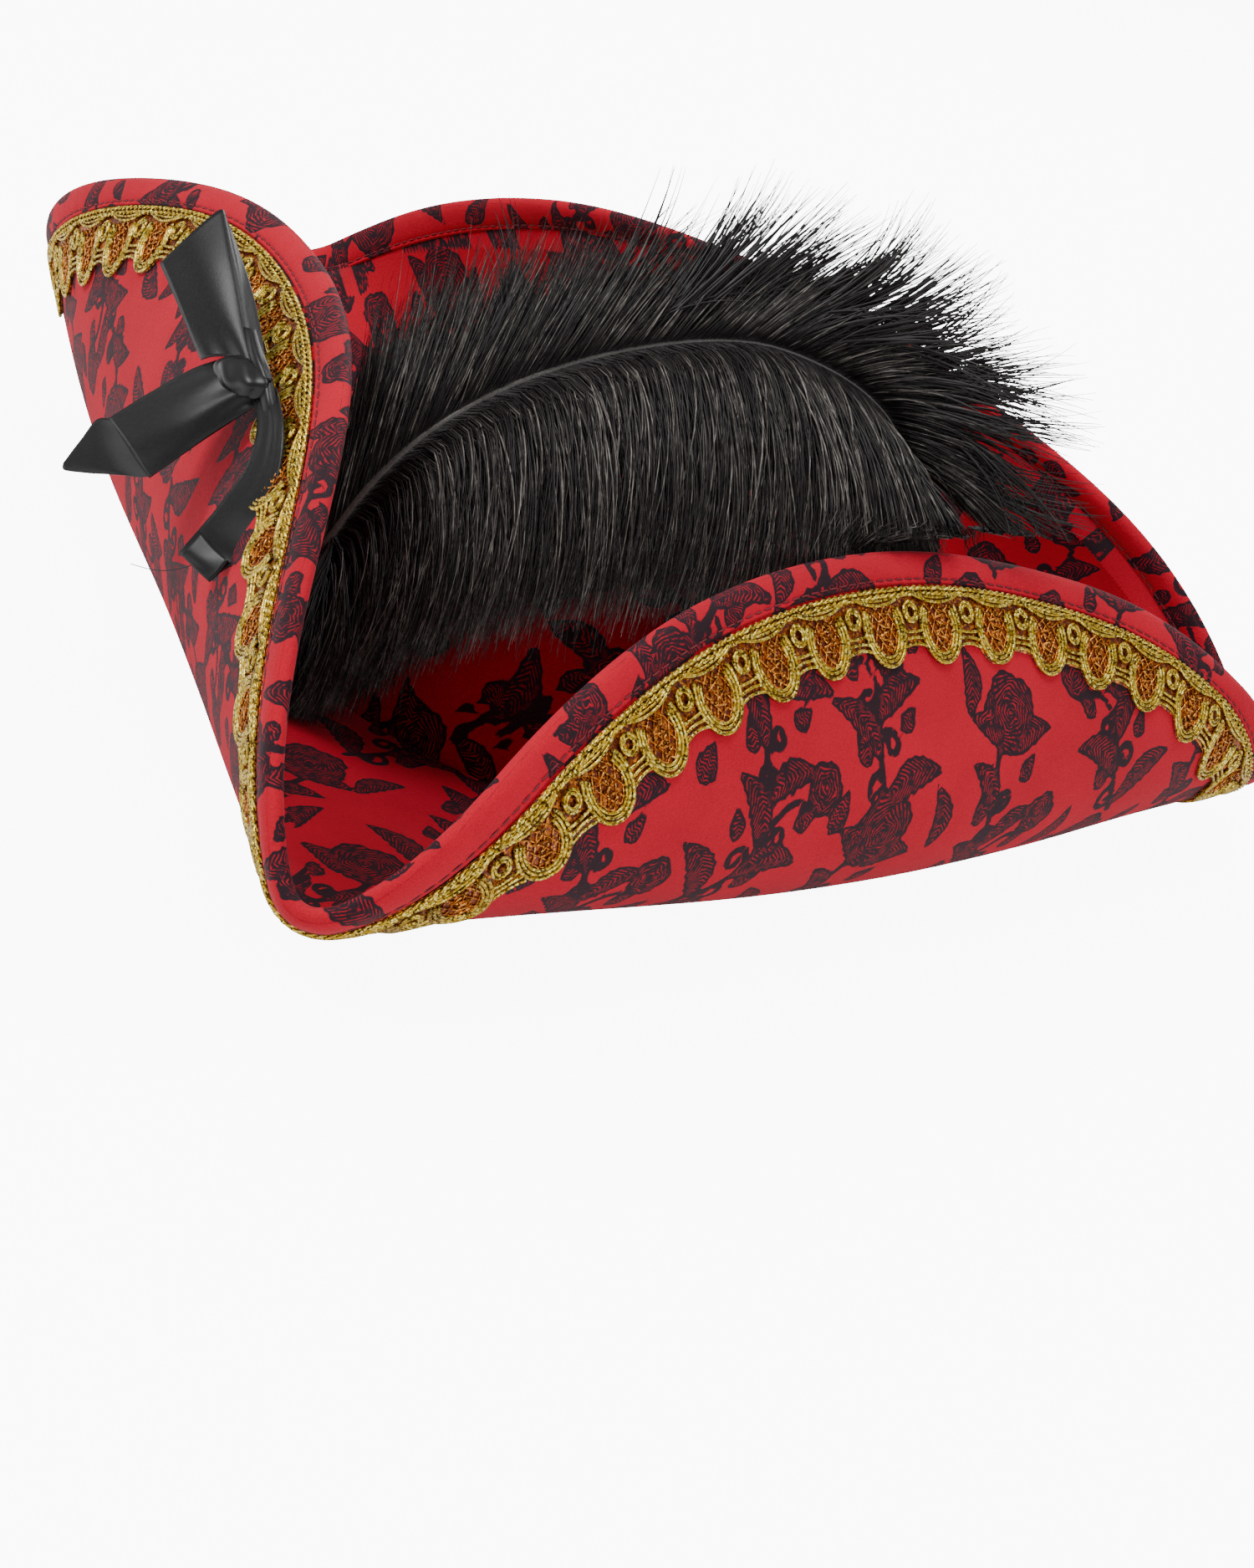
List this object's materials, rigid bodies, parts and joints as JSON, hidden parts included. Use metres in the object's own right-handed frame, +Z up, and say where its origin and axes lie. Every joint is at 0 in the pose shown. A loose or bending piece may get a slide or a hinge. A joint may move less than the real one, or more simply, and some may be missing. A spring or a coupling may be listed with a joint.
{
  "type": "tricorne pirate hat",
  "caption": "Three-cornered costume hat with a turned-up brim, domed crown, gold braid edging, a satin ribbon bow and a sprung plume.",
  "frame": {"origin": "centre of the head opening, on the plane the hat stands on", "axes": "+Z up, the front corner points to -Y, the wearer's left (bow and plume) is +X"},
  "size_m": [0.4018, 0.3953, 0.1729],
  "materials": {
    "brim_cloth": "printed faux suede, matt",
    "binding_cloth": "printed faux suede folded over the edge",
    "core_board": "stiff fused interlining",
    "wire": "plain millinery wire",
    "thread_dark": "spun sewing thread",
    "braid_ground": "openwork metallic gimp ground",
    "braid_cord": "gold metallised cord",
    "lining_cloth": "smooth woven lining",
    "sweatband_cloth": "ribbed grosgrain band",
    "label_cloth": "blank satin label",
    "ribbon_satin": "black satin ribbon",
    "quill": "horn-like feather shaft, dyed black",
    "plume": "soft dyed ostrich barbs"
  },
  "bodies": {
    "hat": {"brim_outer_cover": "brim_cloth", "brim_core": "core_board", "brim_inner_cover": "brim_cloth", "brim_edge_wire": "wire", "brim_edge_binding": "binding_cloth", "hem_stitching": "thread_dark", "braid_band": "braid_ground", "braid_heading_cords": "braid_cord", "braid_scallop_cord": "braid_cord", "crown_cover": "brim_cloth", "crown_core": "core_board", "crown_lining": "lining_cloth", "sweatband": "sweatband_cloth", "sweatband_stitching": "thread_dark", "care_label": "label_cloth", "bow_knot": "ribbon_satin", "bow_stitches": "thread_dark", "quill_patch": "binding_cloth", "quill_stitches": "thread_dark"},
    "plume": {"feather_quill": "quill", "feather_upper_vane": "plume", "feather_lower_vane": "plume"},
    "upper_tail": {"bow_upper_tail": "ribbon_satin"},
    "front_tail": {"bow_front_tail": "ribbon_satin"},
    "lower_tail": {"bow_lower_tail": "ribbon_satin"}
  },
  "joints": [
    {"name": "plume_sway", "type": "hinge", "parent": "hat", "child": "plume", "pos_m": [0.105, -0.027, 0.011], "axis": [0.59, 0.8074, 0], "range_deg": [0, 10], "stiffness_Nm_per_rad": 0.6},
    {"name": "upper_tail_lift", "type": "hinge", "parent": "hat", "child": "upper_tail", "pos_m": [0.14022, -0.0044, 0.10092], "axis": [-0.2951, 0.5679, 0.7684], "range_deg": [0, 25], "stiffness_Nm_per_rad": 0.01},
    {"name": "front_tail_lift", "type": "hinge", "parent": "hat", "child": "front_tail", "pos_m": [0.14022, -0.0044, 0.10092], "axis": [-0.54, -0.7394, 0.4021], "range_deg": [0, 25], "stiffness_Nm_per_rad": 0.01},
    {"name": "lower_tail_lift", "type": "hinge", "parent": "hat", "child": "lower_tail", "pos_m": [0.14022, -0.0044, 0.10092], "axis": [-0.0174, -0.8818, -0.4712], "range_deg": [0, 25]}
  ]
}
